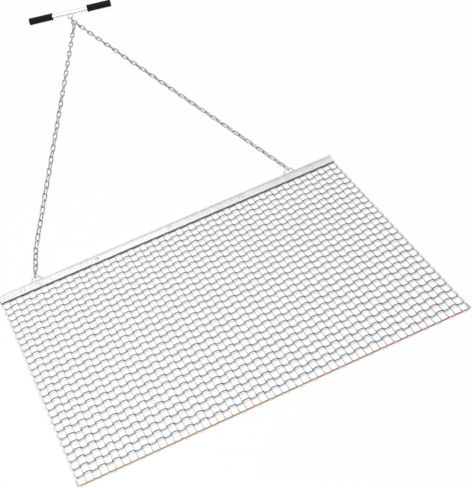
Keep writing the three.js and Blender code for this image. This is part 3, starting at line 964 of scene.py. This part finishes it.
@dataclass
class FrontBar:
    """The angle iron over the front row, its rivets, its clamp strip and its pull loops."""

    length: float = 1524.0
    front: float = 8.0
    depth: float = 38.0
    base: float = 13.6
    thickness: float = 4.0
    lip: float = 14.7
    heel_radius: float = 3.0
    toe_radius: float = 1.4
    end_radius: float = 0.5
    rivet_head: float = 18.0
    rivet_dome: float = 4.5
    rivet_rim: float = 0.6
    rivet_shank: float = 8.0
    rivet_tail: float = 13.0
    dome_steps: int = 7
    clamp: float = 3.0
    rivets: int = 5
    loop_rod: float = 8.0
    loop_bend: float = 8.0
    loop_half_base: float = 22.0
    loop_half_top: float = 11.0
    loop_shoulder: float = 18.0
    loop_foot: float = 8.0
    weld_wire: float = 3.4
    weld_step: float = 1.25
    weld_ripples: tuple[float, ...] = (1.9, 0.86, 1.16, 0.86, 1.16, 0.86, 1.14, 0.55)
    weld_offset: Triple = (3.6, 1.0, 3.5)
    iron: Finish = GalvanisedIron()
    zinc: Finish = PALE_ZINC

    def build(self) -> None:
        """Builds all the pieces of the bar, and dresses the CAD's clamp strip."""
        fit(self.angle_iron(), "angle_iron", "bar", self.iron, "front_bar")
        clamp = frame["nodes"]["clamp_strip"]
        clamp.data.materials.clear()
        clamp.data.materials.append(self.iron.material())
        LOG.info("clamp_strip dressed")
        for index in range(1, self.rivets + 1):
            node = f"rivet_{index}"
            low, high = (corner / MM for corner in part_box(node))
            rivet = self.rivet((low + high) / 2, low.z)
            fit(rivet, f"dome_rivet_{index}", "bar", self.zinc, node)
        for side in ("left", "right"):
            loop = self.pull_loop(PLACES[f"{side}_lift"])
            fit(loop, f"{side}_bent_loop", "bar", self.iron, f"{side}_pull_loop")

    def angle_iron(self) -> Item:
        """Draws the angle up from a flat bar, and rounds its edges.

        Returns:
            The angle iron.
        """
        top, lip_top = self.base + self.thickness, self.base + self.lip
        web, rear = self.front - self.thickness, self.front - self.depth
        item = primitive(
            bpy.ops.mesh.primitive_cube_add,
            size=1.0,
            location=(0.0, (self.front - self.depth / 2) * MM, (self.base + top) / 2 * MM),
        )
        item.scale = (self.length * MM, self.depth * MM, self.thickness * MM)
        settle(item)
        corners = (
            (self.front, self.base, self.heel_radius),
            (web, top, self.heel_radius),
            (self.front, lip_top, self.toe_radius),
            (web, lip_top, self.toe_radius),
            (rear, top, self.toe_radius),
            (rear, self.base, self.toe_radius / 2),
        )
        with editing(item):
            bpy.ops.mesh.select_all(action="SELECT")
            bpy.ops.mesh.bisect(plane_co=(0.0, web * MM, 0.0), plane_no=(0.0, 1.0, 0.0))
            pick(Domain.FACES, lambda at, way: way.z > ALONG and at.y > web)
            extrude(Vector((0.0, 0.0, self.lip - self.thickness)))
            for y, z, radius in corners:
                corner = Vector((0.0, y, z))
                pick(Domain.EDGES, lambda at, way: abs(way.x) > ALONG and (at - corner).length < NEAR)
                bevel(radius, segments=3)
            end = self.length / 2
            pick(Domain.EDGES, lambda at, way: abs(at.x) > end - NEAR and abs(way.x) < 1 - ALONG)
            bevel(self.end_radius, segments=2)
        return smooth(item, angle=35.0)

    def rivet(self, middle: Vector, foot: float) -> Item:
        """Turns a rivet: a countersunk tail, a shank and a domed head.

        Args:
            middle: The middle of the rivet.
            foot: The Z of its tail.

        Returns:
            The rivet in place.
        """
        seat = self.base + self.thickness - foot
        head, shank, rim = self.rivet_head / 2, self.rivet_shank / 2, self.rivet_rim
        outline = [(0.0, 0.0), (0.0, self.rivet_tail / 2), (self.clamp, shank), (seat, shank), (seat, head)]
        for i in range(1, self.dome_steps + 1):
            angle = math.pi / 2 * i / self.dome_steps
            radius = 0.0 if i == self.dome_steps else head * math.cos(angle)
            outline.append((seat + rim + (self.rivet_dome - rim) * math.sin(angle), radius))
        stand = Matrix.Translation((middle.x, middle.y, foot)) @ Matrix.Rotation(-math.pi / 2, 4, "Y")
        return placed(turned_piece(outline, steps=24, angle=35.0), stand)

    def pull_loop(self, top: Vector) -> Item:
        """Bends a pull loop, and runs a weld along each foot.

        Args:
            top: The middle of its top bar.

        Returns:
            The loop with its welds, in place.
        """
        inset = self.loop_half_base - self.loop_half_top
        slope = math.atan2(inset, self.loop_shoulder)
        low_cut = self.loop_bend * math.tan(slope / 2)
        high_cut = self.loop_bend * math.tan((math.pi / 2 - slope) / 2)
        lean = math.hypot(inset, self.loop_shoulder) - low_cut - high_cut
        foot, crown = self.loop_foot - low_cut, 2 * (self.loop_half_top - high_cut)
        low, high = math.degrees(slope), 90.0 - math.degrees(slope)
        wire = WireBender(self.loop_rod, sides=14, closing=Closing.OPEN_ENDS).run(foot)
        for turn, steps, run in ((low, 3, lean), (high, 5, crown), (high, 5, lean), (low, 3, foot)):
            wire.bend(turn, self.loop_bend, steps).run(run)
        # The bent plane is XY with the foot first along +X: X becomes up and Y leftwards.
        height = self.loop_foot + self.loop_shoulder
        stand = Matrix(((0, -1, 0, 0), (0, 0, -1, 0), (1, 0, 0, 0), (0, 0, 0, 1)))
        shift_back = Matrix.Translation((-height, -self.loop_half_base, 0.0))
        parts = [placed(wire.done(), Matrix.Translation(top) @ stand @ shift_back)]
        aside, ahead, up = self.weld_offset
        for side in (-1, 1):
            for face in (-1, 1):
                x = top.x + side * self.loop_half_base + face * aside
                parts.append(self.weld(Vector((x, self.front + ahead, top.z - height + up))))
        return merged(parts)

    def weld(self, foot: Vector) -> Item:
        """Lays a weld bead upwards: wire whose section swells in ripples.

        Args:
            foot: The bead's lower end.

        Returns:
            The bead in place.
        """
        bead = WireBender(self.weld_wire, sides=8, closing=Closing.OPEN_ENDS).swell(0.5)
        for factor in self.weld_ripples:
            bead.run(self.weld_step).swell(factor)
        return placed(bead.done(), Matrix.Translation(foot) @ Matrix.Rotation(-math.pi / 2, 4, "Y"))


# Chain and handle


def along(start: Vector, way: Vector) -> Matrix:
    """The placement whose X runs along a direction and whose Y stays level.

    Args:
        start: Its origin.
        way: The direction.

    Returns:
        The placement.
    """
    x = way.normalized()
    y = Vector((0.0, 0.0, 1.0)).cross(x).normalized()
    turn = Matrix((x, y, x.cross(y))).transposed().to_4x4()
    return Matrix.Translation(start) @ turn


@dataclass(frozen=True)
class WeldedLink:
    """A chain link of round wire: two half-round crowns and two straight sides, one of
    them with the swelling of its butt weld."""

    wire: float = 6.0
    half_width: float = 8.5
    sides: int = 10
    crown_steps: int = 7
    swelling: float = 1.12
    weld_step: float = 2.0
    weld_back: float = 3.0

    def link(self, inner_length: float) -> Item:
        """Bends a link flat in XY.

        Args:
            inner_length: How far its crowns' inner faces are apart.

        Returns:
            The link, with its first crown's inner face at the origin.
        """
        straight = inner_length + self.wire - 2 * self.half_width
        part, step = straight / 2 - self.weld_back, self.weld_step
        bender = WireBender(self.wire, self.sides, Closing.RING)
        bender.run(part).run(step).swell(self.swelling).run(step).swell(1 / self.swelling)
        for run in (part + step, straight):
            bender.run(run).bend(180.0, self.half_width, self.crown_steps)
        inner_face = Vector((self.half_width - self.wire / 2, -self.half_width, 0.0))
        return placed(bender.done(), Matrix.Translation(inner_face))


@dataclass
class ChainLeg:
    """One leg of the pull chain: an end link and six runs of links, each on its body."""

    side: str
    sections: tuple[int, ...]
    leans: Span
    tip: Vector
    pitch: float = 51.5
    crossing: float = 70.0
    lean_step: float = 44.0
    shape: WeldedLink = WeldedLink()
    zinc: Finish = BrightZinc()

    def pivots(self) -> list[Vector]:
        """Lists where the leg can turn.

        Returns:
            The loop, each section's first pivot, and the apex link's near bar.
        """
        names = [f"{self.side}_lift", f"{self.side}_swing"]
        names += [f"{self.side}_fold_{i}" for i in range(2, len(self.sections) + 1)]
        return [PLACES[name] for name in names] + [self.tip]

    def roll(self, index: int) -> float:
        """How far a link is turned about the leg. Neighbours cross at an angle. The leg's
        lean falls off from the apex to the loop, and both its ends stand up.

        Args:
            index: The link's number, counted from the apex.

        Returns:
            The angle.
        """
        last = sum(self.sections)
        near, far = self.leans
        most = far + (near - far) * (1 - index / last) ** 2
        lean = -min(most, self.lean_step * min(index, last - index))
        return lean + self.crossing if index % 2 == 0 else lean

    def build(self) -> None:
        """Builds the end link and the sections."""
        places = self.pivots()
        master = self.shape.link(self.pitch)
        index = sum(self.sections)
        way = places[1] - places[0]
        # The end link's inner faces are a pitch apart, and its far one is on the pivot.
        start = places[1] - way.normalized() * self.pitch
        upright = along(start, way) @ Matrix.Rotation(math.pi / 2, 4, "X")
        body = f"{self.side}_end_link"
        fit(moved_copy(master, upright), f"{self.side}_hook_link", body, self.zinc, body)
        for section, count in enumerate(self.sections, start=1):
            start, way = places[section], places[section + 1] - places[section]
            links = []
            for i in range(count):
                index -= 1
                roll = Matrix.Rotation(math.radians(self.roll(index)), 4, "X")
                place = along(start + way.normalized() * (i * self.pitch), way)
                links.append(moved_copy(master, place @ roll))
            body = f"{self.side}_chain_{section}"
            fit(merged(links), f"{self.side}_links_{section}", body, self.zinc, body)
        bpy.data.objects.remove(master)


@dataclass
class Apex:
    """The link that holds both legs, and the link between it and the handle."""

    place: Vector
    wire: float = 6.0
    bar_spacing: float = 44.6
    half_width: float = 13.5
    corner: float = 3.6
    play: float = 0.3
    shape: WeldedLink = WeldedLink()
    zinc: Finish = BrightZinc()

    def build(self) -> None:
        """Builds the two links."""
        bar = 2 * (self.half_width - self.corner)
        side = self.bar_spacing - 2 * self.corner
        wire = WireBender(self.wire, sides=12, closing=Closing.RING)
        for length in (bar, side, bar, side):
            wire.run(length).bend(90.0, self.corner, steps=5)
        middle = Matrix.Translation(self.place - Vector((bar / 2, 0.0, 0.0)))
        fit(placed(wire.done(), middle), "square_link", "apex_link", self.zinc, "apex_link")
        near = PLACES["handle_link_tilt"]
        way = PLACES["handle_turn"] - near
        gap = self.wire / 2 + self.play
        item = self.shape.link(way.length + gap - self.shape.wire / 2)
        upright = along(near - way.normalized() * gap, way) @ Matrix.Rotation(math.pi / 2, 4, "X")
        fit(placed(item, upright), "swivel_link", "handle_link", self.zinc, "handle_link")


@dataclass
class Handle:
    """The T handle: a tube on a U-bolt with two nuts, and a ribbed grip at each end."""

    tube: float = 22.2
    wall: float = 1.6
    bare: float = 203.0
    play: float = 0.3
    grip_length: float = 133.0
    grip: float = 38.5
    collar: float = 42.0
    collar_width: float = 5.0
    collar_edge: float = 1.0
    end_wall: float = 5.0
    end_round: float = 4.0
    end_steps: int = 4
    end_drop: float = 1.2
    ribs: int = 17
    rib_depth: float = 0.7
    rib_margins: Span = (6.0, 12.0)
    rib_profile: tuple[Span, ...] = ((0.0, 0.0), (0.15, 1.0), (0.35, 1.0), (0.5, 0.0))
    bolt_wire: float = 6.0
    bolt_spread: float = 28.0
    bolt_drop: float = 76.0
    bolt_offset: float = 7.0
    bolt_end: float = 19.4
    threads: int = 4
    thread_pitch: float = 1.0
    thread_root: float = 0.9
    nut_width: float = 10.0
    nut_height: float = 5.0
    nut_chamfer: float = 0.35
    nut_rim: float = 1.0
    slip: float = 22.5
    slip_reach: float = 6.845
    zinc: Finish = PALE_ZINC
    plated: Finish = DrawnTube()
    rubber: Finish = MouldedRubber()

    def own(self) -> Matrix:
        """The handle's placement.

        Returns:
            A placement with X along the tube and its middle under the bolt.
        """
        slip = math.radians(self.slip)
        bend = Vector((-math.sin(slip), math.cos(slip), 0.0)) * self.slip_reach
        up = Vector((0.0, self.bolt_drop - self.bolt_spread / 2, 0.0))
        turn = Matrix.Rotation(math.radians(HANDLE_TURN), 4, "Z")
        return Matrix.Translation(PLACES["handle_turn"]) @ turn @ Matrix.Translation(bend + up)

    def put(self, item: Item, name: str, place: Matrix, finish: Finish, node: str) -> None:
        """Sets a piece in its place on the handle, and fits it."""
        fit(placed(item, self.own() @ place), name, "handle", finish, node)

    def build(self) -> None:
        """Builds all the pieces of the handle."""
        middle = Matrix.Translation((-self.bolt_offset, 0.0, 0.0))
        out = Matrix.Translation((self.bare / 2, 0.0, 0.0))
        self.put(self.u_bolt(), "bent_bolt", Matrix(), self.zinc, "u_bolt")
        for index, side in ((1, -1), (2, 1)):
            seat = Vector((side * self.bolt_spread / 2, self.tube / 2 + self.play, 0.0))
            place = Matrix.Translation(seat)
            self.put(self.nut(), f"hex_nut_{index}", place, self.zinc, f"u_bolt_nut_{index}")
        self.put(self.bare_tube(), "plated_tube", middle, self.plated, "handle_tube")
        for side, turn in (("right", 0.0), ("left", math.pi)):
            place = middle @ Matrix.Rotation(turn, 4, "Z") @ out
            self.put(self.ribbed_grip(), f"{side}_ribbed_grip", place, self.rubber, f"{side}_grip")

    def u_bolt(self) -> Item:
        """Bends the U-bolt, with threads turned on both its ends.

        Returns:
            The U-bolt.
        """
        bend, half, root = self.bolt_spread / 2, self.thread_pitch / 2, self.thread_root
        leg = self.bolt_drop - bend + self.bolt_end - self.threads * self.thread_pitch
        wire = WireBender(self.bolt_wire, sides=12, closing=Closing.OPEN_ENDS)
        for _ in range(self.threads):
            wire.run(half).swell(1 / root).run(half).swell(root)
        wire.run(leg).bend(180.0, bend, steps=12).run(leg)
        for _ in range(self.threads):
            wire.run(half).swell(root).run(half).swell(1 / root)
        # The first leg starts at its thread: X becomes down and Y rightwards.
        stand = Matrix(((0, 1, 0, -bend), (-1, 0, 0, self.bolt_end), (0, 0, 1, 0), (0, 0, 0, 1)))
        return placed(wire.done(), stand)

    def nut(self) -> Item:
        """Presses a hexagon nut with a chamfered face, its bore along Y from the origin.

        Returns:
            The nut.
        """
        item = primitive(
            bpy.ops.mesh.primitive_cylinder_add,
            vertices=6,
            radius=self.nut_width / math.sqrt(3) * MM,
            depth=self.nut_height * MM,
            location=(0.0, self.nut_height / 2 * MM, 0.0),
            rotation=(-math.pi / 2, 0.0, 0.0),
        )
        settle(item)
        with editing(item):
            pick(Domain.FACES, lambda _, way: abs(way.y) > ALONG)
            bpy.ops.mesh.inset(thickness=self.nut_rim * MM, depth=0.0)
            pick(Domain.FACES, lambda at, way: abs(way.y) > ALONG and math.hypot(at.x, at.z) < NEAR)
            inwards = {"value": -self.nut_chamfer * MM}
            bpy.ops.mesh.extrude_region_shrink_fatten(TRANSFORM_OT_shrink_fatten=inwards)
        modify(item, "BEVEL", width=self.nut_chamfer * MM, segments=2)
        return smooth(item, angle=35.0)

    def bare_tube(self) -> Item:
        """Turns the tube, open at both ends, which end inside the grips.

        Returns:
            The tube.
        """
        half = self.bare / 2 + self.grip_length - self.end_wall - self.play
        outer, inner = self.tube / 2, self.tube / 2 - self.wall
        outline = [(-half, inner), (-half, outer), (half, outer), (half, inner), (-half, inner)]
        return turned_piece(outline, steps=40, angle=35.0)

    def ribbed_grip(self) -> Item:
        """Turns a grip: a collar, ribs along the hold, and a closed rounded end.

        Returns:
            The grip, with its collar at the origin and its end out along X.
        """
        bore, body, collar = self.tube / 2 + self.play, self.grip / 2, self.collar / 2
        end, edge, wide = self.grip_length, self.collar_edge, self.collar_width
        outline = [(end - self.end_wall, 0.0), (end - self.end_wall, bore), (0.0, bore)]
        outline += [(0.0, collar - edge), (edge, collar), (wide - edge, collar)]
        outline += [(wide, collar - edge), (wide + edge / 2, body)]
        first, last = wide + self.rib_margins[0], end - self.rib_margins[1]
        step = (last - first) / self.ribs
        for i in range(self.ribs):
            for part, depth in self.rib_profile:
                outline.append((first + i * step + part * step, body - depth * self.rib_depth))
        cap, curve = collar - self.end_drop, self.end_round
        outline += [(last, body), (last + edge, cap), (end - curve, cap)]
        for i in range(1, self.end_steps + 1):
            angle = math.pi / 2 * i / self.end_steps
            outline.append((end - curve + curve * math.sin(angle), cap - curve + curve * math.cos(angle)))
        outline.append((end, 0.0))
        return turned_piece(outline, steps=36, angle=30.0)


# Stage


@dataclass(frozen=True)
class Lamp:
    """A square lamp that faces the middle of the mat. Sizes are metres, power is watts."""

    name: str
    place: Triple
    size: float
    power: float
    aim: Triple = (0.0, 0.2, 0.0)

    def build(self) -> None:
        """Hangs the lamp."""
        data = bpy.data.lights.new(self.name, "AREA")
        data.size, data.energy = self.size, self.power
        lamp = bpy.data.objects.new(self.name, data)
        bpy.context.scene.collection.objects.link(lamp)
        lamp.location = self.place
        lamp.rotation_mode = "QUATERNION"
        lamp.rotation_quaternion = (Vector(self.aim) - Vector(self.place)).to_track_quat("-Z", "Y")


@dataclass
class Studio:
    """The camera, the lamps and the floor. Places are in metres."""

    location: Triple = (-0.7136, -4.7591, 3.2467)
    right: Triple = (0.905234, -0.354176, -0.234759)
    down: Triple = (-0.392654, -0.486084, -0.780734)
    forward: Triple = (0.162405, 0.798926, -0.579088)
    lens: float = 101.82
    floor_half: float = 40.0
    floor_drop: float = 0.0002
    floor_colour: Triple = (0.86, 0.86, 0.87)
    floor_seen: float = 0.93
    sky_strength: float = 0.55
    lamps: tuple[Lamp, ...] = (
        Lamp("overhead", (-0.3, 0.5, 4.5), size=5.0, power=102.0),
        Lamp("front_fill", (-4.0, -4.0, 3.0), size=3.0, power=120.0),
    )

    def place_camera(self) -> None:
        """Puts the camera where the photograph was taken from."""
        data = bpy.data.cameras.new("camera")
        data.lens = self.lens
        data.sensor_width = 36.0
        data.clip_start, data.clip_end = 0.1, 100.0
        camera = bpy.data.objects.new("camera", data)
        bpy.context.scene.collection.objects.link(camera)
        turn = Matrix((self.right, -Vector(self.down), -Vector(self.forward))).transposed().to_4x4()
        camera.matrix_world = Matrix.Translation(self.location) @ turn
        bpy.context.scene.camera = camera

    def build(self) -> None:
        """Sets the floor, the sky and the lamps."""
        self.floor()
        self.sky()
        for lamp in self.lamps:
            lamp.build()
        bpy.context.scene.view_settings.view_transform = "Standard"
        LOG.info("floor, sky and %d lamps", len(self.lamps))

    def floor(self) -> None:
        """Lays a white floor that still takes the object's soft shadow."""
        below = (0.0, 0.0, -self.floor_drop)
        add_plane = bpy.ops.mesh.primitive_plane_add
        ground = primitive(add_plane, size=2 * self.floor_half, location=below)
        ground.name = "floor"
        material, shader = blank_material("floor_white")
        tree = material.node_tree
        fill(shader, {"Base Color": (*self.floor_colour, 1.0), "Roughness": 0.9})
        glow = add_node(tree, "Emission", {"Strength": 1.0})["Emission"]
        parts = (self.seen_share(tree, self.floor_seen), shader.outputs["BSDF"], glow)
        output = next(n for n in tree.nodes if n.type == "OUTPUT_MATERIAL")
        fill(output, {"Surface": add_node(tree, "MixShader", parts)["Shader"]})
        ground.data.materials.append(material)

    def seen_share(self, tree: bpy.types.NodeTree, most: float) -> Socket:
        """A share that holds for rays from the camera, in mirrors and through glass.

        Args:
            tree: The node tree to add to.
            most: The share for those rays. It is 0 for all others.

        Returns:
            The share's socket.
        """
        path = add_node(tree, "LightPath")
        seen = path["Is Camera Ray"]
        for other in ("Is Glossy Ray", "Is Transmission Ray"):
            seen = add_node(tree, "Math", (seen, path[other]), operation="MAXIMUM")["Value"]
        return add_node(tree, "MapRange", (seen, 0.0, 1.0, 0.0, most))["Result"]

    def sky(self) -> None:
        """Fills the world with plain light, and white behind the object."""
        world = bpy.data.worlds.new("studio_sky")
        bpy.context.scene.world = world
        world.use_nodes = True
        tree = world.node_tree
        backdrop = next(n for n in tree.nodes if n.type == "BACKGROUND")
        levels = (self.seen_share(tree, 1.0), 0.0, 1.0, self.sky_strength, 1.0)
        strength = add_node(tree, "MapRange", levels)["Result"]
        fill(backdrop, {"Color": (1.0, 1.0, 1.0, 1.0), "Strength": strength})


def main() -> None:
    """Builds the studio and every piece of the mat."""
    logging.basicConfig(level=logging.INFO, format="%(name)s: %(message)s")
    studio = Studio()
    studio.place_camera()
    apex = PLACES["apex_tilt"]
    half_spacing = Vector((7.0, 0.0, 0.0))
    Mesh().build()
    FrontBar().build()
    ChainLeg("left", sections=(4, 8, 8, 8, 8, 8), leans=(64.0, 18.0), tip=apex - half_spacing).build()
    ChainLeg("right", sections=(2, 8, 8, 8, 8, 8), leans=(10.0, -18.0), tip=apex + half_spacing).build()
    Apex(apex).build()
    Handle().build()
    studio.build()


if __name__ == "__main__":
    main()
